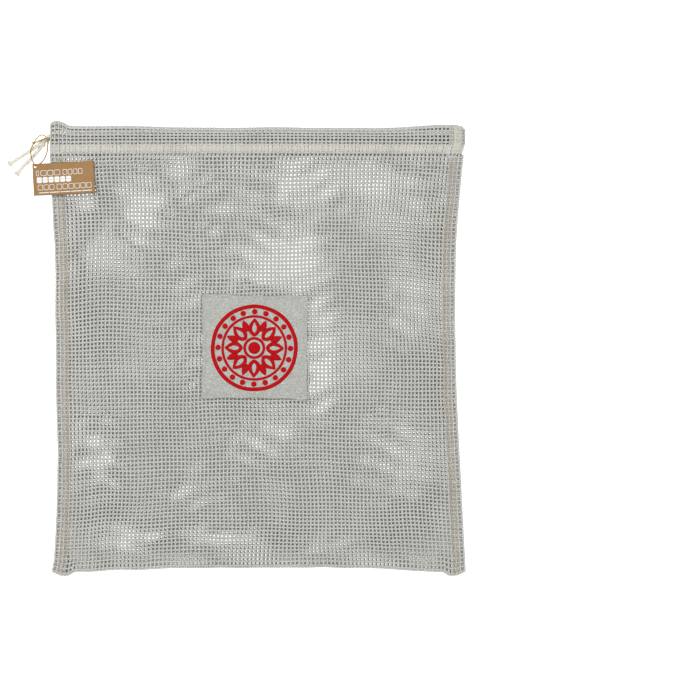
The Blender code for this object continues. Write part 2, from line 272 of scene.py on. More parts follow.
def front_wall_z(x, y):
    """Underside of the front wall, before it settles."""
    across = 1 - np.abs(x / half_width(y)) ** 4
    up = 1 - np.maximum((MOUTH_BLEND_Y - y) / (MOUTH_BLEND_Y - FOLD_Y), 0.0) ** 6
    body = EDGE_Z + LOFT * np.maximum(across, 0.0) * np.maximum(up, 0.0)
    mouth = front_casing_z(x) - YARN_HEIGHT / 2
    share = smoothstep(MOUTH_BLEND_Y, PANEL_HIGH_Y, y)
    return body * (1 - share) + mouth * share + HEM_STEP * smoothstep(0.160, PANEL_HIGH_Y, y)


# How far the sides stray to the right, as (y, shift), and how far the bottom edge lifts, as (x, shift)
LEFT_EDGE = [
    (-0.205, 0.0008), (-0.199, 0.0014), (-0.193, 0.0026), (-0.150, 0.0029), (-0.093, 0.0024),
    (-0.070, 0.0009), (-0.045, 0.0000), (0.030, -0.0006), (0.055, 0.0004), (0.090, 0.0005),
    (0.110, -0.0003), (0.174, 0.0000),
]
RIGHT_EDGE = [
    (-0.200, -0.0008), (-0.120, -0.0018), (-0.040, -0.0042), (0.040, -0.0060), (0.090, -0.0066),
    (0.110, -0.0062), (0.135, -0.0052), (0.160, -0.0041), (0.174, -0.0030),
]
BOTTOM_EDGE = [
    (-0.190, 0.0), (-0.155, 0.0), (-0.135, 0.0017), (-0.105, 0.0020), (-0.080, 0.0034), (0.060, 0.0040),
    (0.110, 0.0032), (0.155, 0.0), (0.190, 0.0),
]
TAB_DROP = 0.0036  # the corners of the bag hang below its bottom edge


def along_table(table, value):
    places, shifts = zip(*table)
    return np.interp(value, places, shifts)


def right_share(x):
    """How much of the right edge's shift is felt at x."""
    return smoothstep(0.03, 0.185, x)


def bow(x, y):
    """How the outline strays from the CAD outline, as shifts along x and along y."""
    right = along_table(RIGHT_EDGE, y) * right_share(x)
    left = along_table(LEFT_EDGE, y) * smoothstep(0.10, 0.185, -x)
    lift = along_table(BOTTOM_EDGE, x) * (1 - smoothstep(BOTTOM_Y, -0.13, y))
    reach = np.abs(x)
    tab = TAB_DROP * smoothstep(0.1680, 0.1755, reach) * (1 - smoothstep(0.1800, 0.1905, reach))
    return right + left, lift - tab * (1 - smoothstep(BOTTOM_Y, -0.186, y))


SETTLE_COLUMNS = 72
SETTLE_ROWS = 76
settled = np.zeros((SETTLE_ROWS + 1, SETTLE_COLUMNS + 1, 3))


def settle_at(x, y):
    """The simulated shift of the front wall at these points."""
    u = np.clip((x / half_width(y) + 1) / 2, 0, 1) * SETTLE_COLUMNS
    v = np.clip((y - FOLD_Y) / (PANEL_HIGH_Y - FOLD_Y), 0, 1) * SETTLE_ROWS
    column = np.minimum(u.astype(int), SETTLE_COLUMNS - 1)
    row = np.minimum(v.astype(int), SETTLE_ROWS - 1)
    s, t = (u - column)[..., None], (v - row)[..., None]
    low = settled[row, column] * (1 - s) + settled[row, column + 1] * s
    high = settled[row + 1, column] * (1 - s) + settled[row + 1, column + 1] * s
    return low * (1 - t) + high * t


def front_point(x, y, lift):
    """A point this far above the underside of the settled front wall."""
    x, y = np.broadcast_arrays(np.asarray(x, float), np.asarray(y, float))
    shift = settle_at(x, y)
    aside, up = bow(x, y)
    z = front_wall_z(x, y) + lift + shift[..., 2]
    return np.stack([x + aside + shift[..., 0], y + up + shift[..., 1], z], axis=-1)


def back_point(x, y, lift):
    """A point this far above the table, on the wall that lies on it."""
    x, y = np.broadcast_arrays(np.asarray(x, float), np.asarray(y, float))
    aside, up = bow(x, y)
    return np.stack([x + aside, y + up, np.broadcast_to(lift, x.shape)], axis=-1)


SETTLE_FRAMES = 24
SETTLE_CAP = 0.0032
CLOTH_SETTINGS = {
    "quality": 6,
    "mass": 0.08,
    "tension_stiffness": 12,
    "compression_stiffness": 8,
    "shear_stiffness": 3,
    "bending_stiffness": 0.25,
    "shrink_min": -0.02,  # the cloth has this share of slack
    "vertex_group_mass": "held",
}


def settle_front_wall():
    """Drapes the front wall, held along its edges, and keeps how far each point moved."""
    rows, columns = SETTLE_ROWS + 1, SETTLE_COLUMNS + 1
    v = np.linspace(FOLD_Y, PANEL_HIGH_Y, rows)[:, None]
    u = np.linspace(-1, 1, columns)[None, :]
    y = np.broadcast_to(v, (rows, columns))
    x = u * half_width(y)
    start = np.stack([x, y, front_wall_z(x, y)], axis=-1)
    ripple = 0.0006 * np.sin(x * 170 + 2.2 * np.sin(y * 40)) * np.cos(y * 120 + x * 30)
    raised = start.copy()
    raised[..., 2] += ripple
    cloth = add_sheet("settling_cloth", raised, bpy.data.materials.new("settling"))
    inside = (np.abs(u) < 0.999) & (v > FOLD_Y + 1e-6) & (v < PANEL_HIGH_Y - 1e-6)
    held = cloth.vertex_groups.new(name="held")
    held.add(np.flatnonzero(~inside.reshape(-1)).tolist(), 1.0, "REPLACE")
    simulation = cloth.modifiers.new("Cloth", "CLOTH")
    for name, value in CLOTH_SETTINGS.items():
        setattr(simulation.settings, name, value)
    simulation.settings.effector_weights.gravity = 0.05
    simulation.collision_settings.use_collision = False
    simulation.point_cache.frame_start = 1
    simulation.point_cache.frame_end = SETTLE_FRAMES
    scene = bpy.context.scene
    for step in range(1, SETTLE_FRAMES + 1):
        scene.frame_set(step)
    graph = bpy.context.evaluated_depsgraph_get()
    mesh = cloth.evaluated_get(graph).to_mesh()
    moved = np.empty(len(mesh.vertices) * 3, np.float32)
    mesh.vertices.foreach_get("co", moved)
    shift = moved.reshape(rows, columns, 3) - start
    bpy.data.objects.remove(cloth)
    scene.frame_set(1)
    length = np.linalg.norm(shift, axis=-1, keepdims=True)
    return shift * np.minimum(1.0, SETTLE_CAP / np.maximum(length, 1e-9))


# ---- materials


class Nodes:
    """Short names for building a node tree."""

    def __init__(self, name):
        self.material = bpy.data.materials.new(name)
        self.material.use_nodes = True
        self.tree = self.material.node_tree
        self.shader = self.tree.nodes["Principled BSDF"]
        self.place = self.add("ShaderNodeTexCoord")["Object"]

    def add(self, kind, inputs=(), **settings):
        """Adds a node, feeds it (input, value) pairs and returns its outputs."""
        node = self.tree.nodes.new(kind)
        for name, value in settings.items():
            setattr(node, name, value)
        self.feed(node, inputs)
        return node.outputs

    def feed(self, node, inputs):
        for name, value in inputs:
            if isinstance(value, bpy.types.NodeSocket):
                self.tree.links.new(value, node.inputs[name])
            else:
                node.inputs[name].default_value = value

    def maths(self, operation, *values):
        return self.add("ShaderNodeMath", enumerate(values), operation=operation)[0]

    def noise(self, vector, scale, detail=2.0, roughness=0.5):
        inputs = [("Vector", vector), ("Scale", scale), ("Detail", detail), ("Roughness", roughness)]
        return self.add("ShaderNodeTexNoise", inputs)["Fac"]

    def stretched(self, scale):
        return self.add("ShaderNodeMapping", [("Vector", self.place), ("Scale", scale)])["Vector"]

    def streaks(self, scale):
        """Noise drawn out along one axis, for uneven threads that run that way."""
        return self.noise(self.stretched(scale), 1100.0, 3.0, 0.7)

    def mix(self, share, first, second):
        inputs = [("Factor", share), (6, first), (7, second)]  # sockets 6 and 7 are its colours
        return self.add("ShaderNodeMix", inputs, data_type="RGBA")[2]

    def spread(self, value, low, high, new_low=0.0, new_high=1.0):
        names = ("Value", "From Min", "From Max", "To Min", "To Max")
        return self.add("ShaderNodeMapRange", zip(names, (value, low, high, new_low, new_high)))["Result"]

    def layer(self, ground, tint, share, source, low, high):
        """Up to this share of the tint lies over the ground, where the source is between low and high."""
        return self.mix(self.spread(source, low, high, 0.0, share), ground, tint)

    def attribute(self, name, output):
        return self.add("ShaderNodeAttribute", attribute_name=name)[output]

    def axes(self, vector):
        return self.add("ShaderNodeSeparateXYZ", [(0, vector)])

    def bump(self, height, distance):
        inputs = [("Height", height), ("Distance", distance), ("Strength", 1.0)]
        self.feed(self.shader, [("Normal", self.add("ShaderNodeBump", inputs)["Normal"])])

    def done(self, colour, roughness, **others):
        names = {"specular": "Specular IOR Level", "sheen": "Sheen Weight", "fuzz": "Sheen Roughness"}
        self.feed(self.shader, [("Base Color", colour), ("Roughness", roughness)])
        self.feed(self.shader, [(names[name], value) for name, value in others.items()])
        return self.material


def shade(colour, factor, green=1.0, blue=1.0):
    return (colour[0] * factor, colour[1] * factor * green, colour[2] * factor * blue, 1.0)


def yarn_material(name, colour, turns_per_metre, relief, sheen=0.25, plies=1.0, groove_shade=0.72):
    """Twisted yarn: the plies wind round it, with lint, painted shade in the hollows between them and painted
    light on their crests, and lots that differ a little.
    """
    nodes = Nodes(name)
    along, across, up = nodes.axes(nodes.attribute("thread", "Vector"))
    turn = nodes.maths("MULTIPLY", nodes.maths("ARCTAN2", up, across), plies)
    phase = nodes.maths("MULTIPLY_ADD", along, turns_per_metre * 2 * pi, turn)
    ply = nodes.spread(nodes.maths("SINE", phase), -1.0, 1.0)
    lint = nodes.noise(nodes.place, 2600.0, 3.0, 0.65)
    cloud = nodes.noise(nodes.place, 38.0, 3.0, 0.6)
    speck = nodes.noise(nodes.place, 900.0)
    nodes.bump(nodes.maths("MULTIPLY_ADD", lint, 0.7, ply), relief)
    # painted shade in the hollows between the plies and painted light on their crests
    ground = nodes.mix(nodes.spread(ply, 0.0, 0.8), shade(colour, groove_shade), shade(colour, 1.05))
    ground = nodes.layer(ground, shade(colour, 1.12), 0.5, cloud, 0.35, 0.7)
    lot = nodes.maths("MULTIPLY", nodes.attribute("lot", "Fac"), 0.35)
    ground = nodes.mix(lot, ground, shade(colour, 0.86, 1.0, 0.93))
    ground = nodes.layer(ground, shade(colour, 0.62, 0.95, 0.82), 0.5, speck, 0.66, 0.78)
    roughness = nodes.spread(lint, 0.3, 0.7, 0.82, 0.96)
    return nodes.done(ground, roughness, sheen=sheen, fuzz=0.6, specular=0.2)


WEAVE_THREADS = 2 * pi / 0.00105  # so that two threads of the canvas lie in each 1.05 mm


def canvas_material(name, colour, ink=False):
    """Plain weave: two families of threads that pass over and under each other, bare or printed."""
    nodes = Nodes(name)
    place = nodes.place
    x, y, _ = nodes.axes(place)
    drift = nodes.maths("MULTIPLY", nodes.noise(place, 420.0), 1.6)
    warp = nodes.maths("SINE", nodes.maths("MULTIPLY_ADD", x, WEAVE_THREADS, drift))
    weft = nodes.maths("SINE", nodes.maths("MULTIPLY_ADD", y, WEAVE_THREADS, drift))
    fine_x = nodes.maths("SINE", nodes.maths("MULTIPLY", x, WEAVE_THREADS * 2))
    fine_y = nodes.maths("SINE", nodes.maths("MULTIPLY", y, WEAVE_THREADS * 2))
    over = nodes.maths("GREATER_THAN", nodes.maths("MULTIPLY", warp, weft), 0.0)
    under = nodes.maths("SUBTRACT", 1.0, over)
    shown_x = nodes.maths("MULTIPLY", over, fine_x)
    weave = nodes.spread(nodes.maths("MULTIPLY_ADD", under, fine_y, shown_x), -1.0, 1.0)
    streaks = nodes.maths("ADD", nodes.streaks((0.07, 1.0, 1.0)), nodes.streaks((1.0, 0.07, 1.0)))
    slub = nodes.maths("MULTIPLY", streaks, 0.5)
    lint = nodes.noise(place, 3000.0)
    nodes.bump(nodes.maths("MULTIPLY_ADD", lint, 0.5, weave), 0.00009 if ink else 0.00014)
    # painted shade and light: the colour is darker where the weave's relief is low and lighter where it is
    # high
    ground = nodes.mix(weave, shade(colour, 0.80), shade(colour, 1.06))
    ground = nodes.layer(ground, shade(colour, 0.90 if ink else 1.20), 0.6, slub, 0.35, 0.68)
    if ink:
        worn = (0.62, 0.30, 0.27, 1.0)
        ground = nodes.layer(ground, worn, 0.35, nodes.noise(place, 1500.0), 0.66, 0.76)
        roughness = nodes.spread(lint, 0.3, 0.7, 0.62, 0.78)
        return nodes.done(ground, roughness, sheen=0.0, specular=0.08)
    ground = nodes.layer(ground, shade(colour, 0.74), 0.9, nodes.noise(place, 640.0, 3.0, 0.75), 0.44, 0.62)
    ground = nodes.layer(ground, shade(colour, 1.55), 0.85, nodes.noise(place, 980.0, 2.0, 0.6), 0.54, 0.66)
    return nodes.done(ground, nodes.spread(lint, 0.3, 0.7, 0.85, 0.96), sheen=0.2, specular=0.25)


def card_material(name, colour):
    """Kraft board: fibres pressed one way, with clouds and dark flecks."""
    nodes = Nodes(name)
    drawn = nodes.stretched((1.0, 3.5, 1.0))
    fibre = nodes.noise(drawn, 900.0, 4.0, 0.7)
    ground = nodes.mix(nodes.spread(fibre, 0.3, 0.7), shade(colour, 0.82), shade(colour, 1.14))
    cloud = nodes.noise(nodes.place, 90.0, 3.0, 0.6)
    ground = nodes.layer(ground, shade(colour, 1.2), 0.35, cloud, 0.35, 0.7)
    ground = nodes.layer(ground, shade(colour, 0.45), 0.6, nodes.noise(drawn, 1700.0, 1.0), 0.70, 0.76)
    nodes.bump(fibre, 0.00005)
    return nodes.done(ground, nodes.spread(fibre, 0.3, 0.7, 0.72, 0.88), specular=0.3)


def print_material(name, colour):
    """Matt ink that lets a little of the card's grain through."""
    nodes = Nodes(name)
    grain = nodes.noise(nodes.place, 1900.0, 3.0, 0.7)
    ground = nodes.layer(shade(colour, 1.0), (0.70, 0.55, 0.38, 1.0), 0.45, grain, 0.55, 0.72)
    nodes.bump(grain, 0.00003)
    return nodes.done(ground, nodes.spread(grain, 0.3, 0.7, 0.5, 0.7))


FLOOR_GLOW = 0.85  # the table gives off light of its own, so the holes of the net look white


def floor_material():
    nodes = Nodes("pale_floor")
    ground = nodes.mix(nodes.noise(nodes.place, 3.0), (0.70, 0.70, 0.70, 1.0), (0.72, 0.72, 0.72, 1.0))
    nodes.feed(nodes.shader, [("Emission Color", (1.0, 1.0, 1.0, 1.0)), ("Emission Strength", FLOOR_GLOW)])
    return nodes.done(ground, 0.9)


# Turns per metre and relief of the threads
OVERLOCK = (900.0, 0.00012)
SEWING = (1100.0, 0.00008)
net_cotton = yarn_material("net_cotton", (0.535, 0.532, 0.506), 420.0, 0.00022)
# painted shade: a darker copy of the overlock thread on the hem and the casing's end, for the seam band in
# the shade of the front wall; its beige tint is the thread's own
shaded_seam_thread = yarn_material("overlock_thread", (0.40, 0.375, 0.315), *OVERLOCK)
sewing_thread = yarn_material("sewing_thread", (0.50, 0.485, 0.435), *SEWING)
# painted shade: a still darker copy of the overlock thread, for the seam's outer edge that lies low in shade
shaded_edge_thread = yarn_material("shaded_edge_thread", (0.27, 0.26, 0.24), *OVERLOCK)
end_thread = yarn_material("end_thread", (0.60, 0.575, 0.515), *OVERLOCK)
hem_thread = yarn_material("hem_thread", (0.63, 0.61, 0.56), *OVERLOCK)
# partly painted shade: the patch's thread is darker than the other sewing thread, partly its own colour and
# partly the shade along the stitched groove at the patch's edge
patch_thread = yarn_material("patch_thread", (0.27, 0.265, 0.245), *SEWING)
cord_cotton = yarn_material("cotton_cord", (0.67, 0.645, 0.56), 240.0, 0.00016, 0.35, 3.0, 0.88)
twine = yarn_material("gold_twine", (0.35, 0.215, 0.050), 700.0, 0.00010, 0.1, 2.0, 0.8)
canvas = canvas_material("canvas", (0.455, 0.46, 0.426))
red_ink = canvas_material("red_ink", (0.47, 0.004, 0.007), ink=True)
kraft = card_material("kraft_card", (0.292, 0.165, 0.066))
white_ink = print_material("white_ink", (0.78, 0.77, 0.74))


# ---- camera, floor and light

VIEW_WIDTH = 0.6363
VIEW_CENTRE = (0.0832, -0.0018)
VIEW_PLANE_Z = 0.008
CAMERA_DISTANCE = 2.2
SENSOR_MM = 36
FLOOR_REACH = 4.0
FLOOR_Z = -0.0002


def make_camera():
    data = bpy.data.cameras.new("camera")
    data.sensor_width = SENSOR_MM
    data.lens = SENSOR_MM * CAMERA_DISTANCE / VIEW_WIDTH
    data.clip_start = 0.05
    camera = add_object("camera", data)
    camera.location = (*VIEW_CENTRE, VIEW_PLANE_Z + CAMERA_DISTANCE)
    bpy.context.scene.camera = camera


def make_floor():
    corners = [(x * FLOOR_REACH, y * FLOOR_REACH, 0) for x, y in ((-1, -1), (1, -1), (1, 1), (-1, 1))]
    floor = add_mesh("floor", corners, [(0, 1, 2, 3)], floor_material())
    floor.location.z = FLOOR_Z


def make_light(name, place, size, watts):
    """A round soft light that looks at the bag."""
    data = bpy.data.lights.new(name, "AREA")
    data.shape = "DISK"
    data.size = size
    data.energy = watts
    light = add_object(name, data)
    light.location = place
    light.rotation_euler = (-Vector(place)).to_track_quat("-Z", "Y").to_euler()


def make_studio():
    make_camera()
    make_floor()
    make_light("key", (-0.75, 0.65, 2.1), 0.8, 34)
    make_light("fill", (1.4, -0.6, 2.2), 1.6, 16)
    world = bpy.data.worlds.new("studio")
    world.use_nodes = True
    background = world.node_tree.nodes["Background"]
    background.inputs["Color"].default_value = (1.0, 1.0, 1.0, 1.0)
    background.inputs["Strength"].default_value = 0.55
    bpy.context.scene.world = world
    bpy.context.scene.view_settings.view_transform = "Standard"


make_studio()


# ---- cord

CORD = 0.0028
CORD_WIDE = 0.0034  # it lies a little flattened
CORD_FRONT_Y = 0.1960
CORD_BACK_Y = 0.1840
CORD_FRONT_LOW_X = -0.183
CORD_BACK_LOW_X = -0.174
CORD_FRONT_EXIT = [
    (-0.1962, 0.1876, 0.0058), (-0.1946, 0.1890, 0.0066), (-0.1922, 0.1912, 0.0076),
    (-0.1885, 0.1942, 0.0083),
]
CORD_BACK_EXIT = [
    (-0.1790, 0.1848, 0.0026), (-0.1845, 0.1878, 0.0027), (-0.1890, 0.1903, 0.0034),
    (-0.1925, 0.1897, 0.0046), (-0.1958, 0.1874, 0.0052),
]
TAIL_UPPER = [
    (-0.1984, 0.1858, 0.0056), (-0.2006, 0.1845, 0.0060), (-0.2025, 0.1832, 0.0060),
    (-0.2060, 0.1810, 0.0044), (-0.2115, 0.1778, 0.0023), (-0.2185, 0.1734, 0.0016),
    (-0.2262, 0.1686, 0.0015),
]
TAIL_LOWER = [
    (-0.1974, 0.1848, 0.0042), (-0.1986, 0.1829, 0.0034), (-0.2000, 0.1809, 0.0028),
    (-0.2040, 0.1765, 0.0019), (-0.2095, 0.1708, 0.0015), (-0.2148, 0.1656, 0.0015),
    (-0.2198, 0.1598, 0.0015),
]
KNOT_CENTRE = np.array((-0.1972, 0.1864, 0.0046))
KNOT_SIZE = (0.00088, 0.00080, 0.00135)
KNOT_HEADING = radians(38)
TAIL_SPREAD = 0.45  # a free end is this much wider and flatter at its cut end


def add_cord(tubes, line, spread=0.0, caps=False):
    """Braided cord: rounded lobes wind round it, and it flattens a little where it ends."""
    wider = 1 + spread * smoothstep(0.86, 1.0, np.linspace(0, 1, len(line)))
    tubes.add(line, CORD_WIDE * wider, CORD / wider, sides=12, caps=caps, lobes=3, twist=0.0085, depth=0.03)


def drawstring_line():
    """From the knot along the front tunnel, round the right side and back along the other tunnel."""
    front_end = np.array((CASING_RIGHT_X, CORD_FRONT_Y, float(front_casing_z(CASING_RIGHT_X))))
    middle = (front_end + (CASING_RIGHT_X, CORD_BACK_Y, BACK_CASING_Z)) / 2
    spoke = front_end - middle
    reach = np.linalg.norm(spoke)
    run = np.linspace(CORD_FRONT_LOW_X, CASING_RIGHT_X, 36, endpoint=False)
    route = CORD_FRONT_EXIT + [(x, CORD_FRONT_Y, float(front_casing_z(x))) for x in run]
    for angle in np.linspace(0, pi, 7):
        route.append(middle + spoke * cos(angle) + np.array((reach * sin(angle), 0.0, 0.0)))
    route += [(x, CORD_BACK_Y, BACK_CASING_Z) for x in run[::-1] if x > CORD_BACK_LOW_X]
    return smooth_route(route + CORD_BACK_EXIT, 0.002)


def overhand_knot(steps, size):
    """A closed overhand knot round the origin."""
    turn = np.linspace(0, 2 * pi, steps)
    x = np.sin(turn) + 2 * np.sin(2 * turn)
    y = np.cos(turn) - 2 * np.cos(2 * turn)
    return np.stack([x, y, -np.sin(3 * turn)], axis=1) * size


FRAY_STRANDS = 60
FRAY_STRAND = 0.00066


def make_fray(name, line):
    """Soft strands that flare out of a cut end like a brush."""
    tip = line[-1]
    heading = unit(line[-1:] - line[-4:-3])[0]
    sideways = unit(np.cross(heading, UP)[None])[0]
    tubes = Tubes()
    steps = np.linspace(-0.6, 1.0, 7)
    outside = np.clip(steps, 0, 1)
    for strand in range(FRAY_STRANDS):
        share = strand / (FRAY_STRANDS - 1) * 2 - 1
        length = 0.0016 + 0.0012 * chance.random() - 0.0006 * abs(share)
        level = 0.0011 * (chance.random() - 0.5) * (1 - share * share)
        fan = share * (0.0019 + 0.0009 * outside**1.2) + 0.00018 * np.sin(steps * 6 + 2.4 * strand)
        route = tip + np.outer(steps * length, heading) + np.outer(fan, sideways)
        route[:, 2] = np.maximum(route[:, 2] + level - 0.0005 * outside, 0.0003)
        tubes.add(route, FRAY_STRAND * np.linspace(1.2, 0.7, 7), sides=5, caps=True)
    piece = tubes.build(name, cord_cotton)
    fix_to("drawstring", piece, "cotton_cord")
    return piece


def make_tail(name, node, route):
    line = smooth_route(route, 0.0008)
    tubes = Tubes()
    add_cord(tubes, line, TAIL_SPREAD, caps=True)
    tail = tubes.build(name, cord_cotton)
    fix_to("drawstring", tail, "cotton_cord", node)
    fray = make_fray(name + "_fray", line)
    round(float(distances(line)[-1]), 4)


def make_drawstring():
    tubes = Tubes()
    add_cord(tubes, even_route(drawstring_line(), 0.0012), caps=True)
    fix_to("drawstring", tubes.build("drawstring_run", cord_cotton), "cotton_cord", "drawstring")
    tubes = Tubes()
    add_cord(tubes, KNOT_CENTRE + turned(overhand_knot(73, KNOT_SIZE), KNOT_HEADING))
    fix_to("drawstring", tubes.build("overhand_knot", cord_cotton), "cotton_cord", "drawstring_knot")
    make_tail("cord_tail_upper", "cord_end_upper", TAIL_UPPER)
    make_tail("cord_tail_lower", "cord_end_lower", TAIL_LOWER)


make_drawstring()


# ---- net walls

# Where the holes of the two walls line up and the floor shows: (x, y, reach along x, along y, share)
OPEN_PLACES = [
    (0.016, 0.080, 0.056, 0.036, 1.00), (0.046, 0.150, 0.044, 0.030, 1.00),
    (0.105, 0.155, 0.055, 0.024, 0.60), (0.150, 0.130, 0.030, 0.024, 0.50),
    (-0.030, 0.120, 0.060, 0.040, 0.50), (-0.105, 0.128, 0.026, 0.036, 0.75),
    (-0.162, 0.134, 0.014, 0.014, 1.00), (0.054, -0.010, 0.020, 0.074, 0.90),
    (-0.146, -0.098, 0.026, 0.040, 0.85), (-0.080, 0.050, 0.050, 0.050, 0.45),
    (-0.060, -0.030, 0.022, 0.050, 0.50), (-0.115, -0.174, 0.040, 0.014, 0.75),
    (-0.040, -0.176, 0.050, 0.012, 0.70), (0.060, -0.180, 0.040, 0.012, 0.55),
    (0.000, -0.085, 0.070, 0.034, 0.48), (-0.060, -0.130, 0.060, 0.030, 0.40),
    (0.120, -0.100, 0.040, 0.050, 0.60), (0.135, 0.040, 0.028, 0.050, 0.55),
]


def gather(piece, slot_name, *nodes):
    """Applies the piece's transform to its mesh and draws it in place of these CAD nodes."""
    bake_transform(piece)
    if nodes:
        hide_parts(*nodes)


SEAM_DRAG = 0.0024  # the side seams pull the rows down a little


def front_drift(x, y):
    """How far the front wall's yarns stray sideways and lengthways from a straight grid."""
    inside = 1 - np.abs(x / half_width(y)) ** 6
    aside = 0.0011 * wave(y / 0.21 + x / 0.45) + 0.0005 * wave(y / 0.083 - x / 0.21, start=1.0)
    along = 0.0010 * wave(x / 0.24 - y / 0.5, start=0.6) + 0.0004 * wave(x / 0.071 + y / 0.19)
    along = along - SEAM_DRAG * smoothstep(0.135, 0.180, np.abs(x)) * (1 + 0.5 * wave(y, 0.16))
    return aside * inside, along * smoothstep(BOTTOM_Y, -0.17, y) * (1 - smoothstep(0.15, PANEL_HIGH_Y, y))


def back_drift(x, y):
    """The back wall's yarns follow the front's, about half a mesh aside except in the open places."""
    near = np.zeros(np.broadcast(x, y).shape)
    for centre_x, centre_y, reach_x, reach_y, share in OPEN_PLACES:
        near = np.maximum(near, share * bump(x, centre_x, reach_x) * bump(y, centre_y, reach_y))
    ragged = 0.16 * np.sin(x * 118 + 2.6 * np.sin(y * 61)) * np.cos(y * 143 + 2.2 * np.sin(x * 47))
    ragged += 0.12 * np.sin(y * 330 + 2.5 * np.sin(x * 52)) + 0.06 * np.sin(x * 290 - y * 170)
    aligned = np.clip((near + ragged * smoothstep(0.02, 0.35, near) - 0.03) / 0.86, 0, 1)
    aside, along = front_drift(x, y)
    settling = settle_at(x, y)
    gap = front_wall_z(x, y) / CAMERA_DISTANCE
    aside = aside + aligned * (settling[..., 0] + gap * (x - VIEW_CENTRE[0]))
    along = along + aligned * (settling[..., 1] + gap * (y - VIEW_CENTRE[1]))
    loose = PITCH * (1 - aligned) * (1 - np.abs(x / half_width(y)) ** 16)
    wander_x = 0.44 + 0.18 * wave(x / 0.11 + y / 0.17) + 0.06 * wave(y / 0.045 + x / 0.3)
    wander_y = 0.44 + 0.18 * wave(y / 0.13 - x / 0.19, start=2.0) + 0.06 * wave(x, 0.052)
    return aside + loose * wander_x, along + loose * wander_y * smoothstep(BOTTOM_Y, -0.18, y)


def add_yarn(tubes, line, normal=None, phase=0):
    """A yarn of the net: thick at the crossings, thin between them, and never quite even."""
    count = len(line)
    knuckle = np.where((np.arange(count) + phase) % 2 == 0, 1 + KNUCKLE, 1 - KNUCKLE)
    scale = knuckle * (1 + 0.07 * (chance.random(count) - 0.5)) * (1 + 0.08 * (chance.random() - 0.5))
    tubes.add(line, YARN_WIDTH * scale, YARN_HEIGHT * scale, normal=normal)


def weave(step, offset, sense):
    """Over and under by turns at the crossings, on every second step, and level between."""
    over = np.where((step // 2 + offset) % 2 == 0, WEAVE_RISE, -WEAVE_RISE)
    return sense * np.where(step % 2 == 0, over, 0.0)


ROWS = 104
ROW_YS = 0.1733 - PITCH * np.arange(ROWS)
CASING_START_Y = 0.1738
LINES_U = np.linspace(-1, 1, COLUMNS) * (1 - YARN_WIDTH / 2 / HALF_WIDTH)
ROW_U = np.linspace(LINES_U[0], LINES_U[-1], 2 * COLUMNS - 1)  # every crossing of a row, and between
SIDE_Z = 0.0022


def warp_lines(point, drift):
    """One line up the wall for each column, with a point at each crossing and between."""
    y = np.linspace(ROW_YS[-1], ROW_YS[0], 2 * ROWS - 1)
    y = np.concatenate([y, [CASING_START_Y + 0.0006, CASING_START_Y + 0.0016]])
    for index, u in enumerate(LINES_U):
        x = u * half_width(y)
        aside, along = drift(x, y)
        yield point(x + aside, y + along, NET_LIFT + weave(np.arange(len(y)), index, 1))


def weft_lines(point, drift):
    """One line across the wall for each row, brought down at both ends to meet the other wall."""
    for index, y in enumerate(ROW_YS):
        x = ROW_U * half_width(y)
        aside, along = drift(x, np.full_like(x, y))
        line = point(x + aside, y + along, NET_LIFT + weave(np.arange(len(x)), ROWS - 1 - index, -1))
        ends = line[[0, -1]] + np.array([(-0.0005, 0.0, 0.0), (0.0005, 0.0, 0.0)])
        ends[:, 2] = SIDE_Z
        yield np.concatenate([ends[:1], line, ends[1:]])


NET_NORMAL = (0.0, 0.02, 1.0)  # the yarns of a wall face up, tipped a little


def build_lines(name, lines):
    tubes = Tubes()
    for index, line in enumerate(lines):
        add_yarn(tubes, line, NET_NORMAL, index % 2)
    return tubes.build(name, net_cotton)


FOLD_SLACK = 0.0004  # the fold stands this far out from the ends of the walls
FOLD_STEPS = 6


def make_fold_lines():
    """The front wall's yarns carry on round the fold, so their normals turn with them."""
    tubes = Tubes()
    angles = np.linspace(-pi / 2, pi / 3, FOLD_STEPS)
    for line in warp_lines(front_point, front_drift):
        x, y, top = line[0]
        radius = (top - NET_LIFT) / 2
        z = (top + NET_LIFT) / 2 + radius * np.sin(angles)
        around = np.stack([np.full(FOLD_STEPS, x), y - FOLD_SLACK - radius * np.cos(angles), z], axis=1)
        joined = np.concatenate([around, line[:2]])
        add_yarn(tubes, joined, np.cross((1.0, 0.0, 0.0), unit(np.gradient(joined, axis=0))))
    for angle in (-pi / 4, pi / 4):
        x = ROW_U * half_width(BOTTOM_Y)
        line = front_point(x, np.full_like(x, ROW_YS[-1]), NET_LIFT)
        radius = (line[:, 2] - NET_LIFT) / 2
        line[:, 1] -= FOLD_SLACK + radius * cos(angle)
        line[:, 2] = (line[:, 2] + NET_LIFT) / 2 + radius * sin(angle)
        add_yarn(tubes, line)
    return tubes.build("fold_yarns", net_cotton)


def make_wall(name, point, drift):
    warp = build_lines(name + "_net_warp", warp_lines(point, drift))
    weft = build_lines(name + "_net_weft", weft_lines(point, drift))
    gather(warp, "net_cotton", name + "_panel")
    gather(weft, "net_cotton")
    return warp, weft


settled = settle_front_wall()
front_warp, front_weft = make_wall("front", front_point, front_drift)
back_warp, back_weft = make_wall("back", back_point, back_drift)
fold_yarns = make_fold_lines()
gather(fold_yarns, "net_cotton", "bottom_fold")


# ---- casing

TURN_REACH_X = 0.0098  # of the line round the right side, midway between the casing's faces
TURN_STEPS = 22
FACE_LIFT = CASING_DEPTH / 2 - NET_LIFT
CASING_ROW_YS = [0.1768, 0.1803, 0.1838, 0.1869, 0.1903, 0.1938, 0.1975, 0.2008]
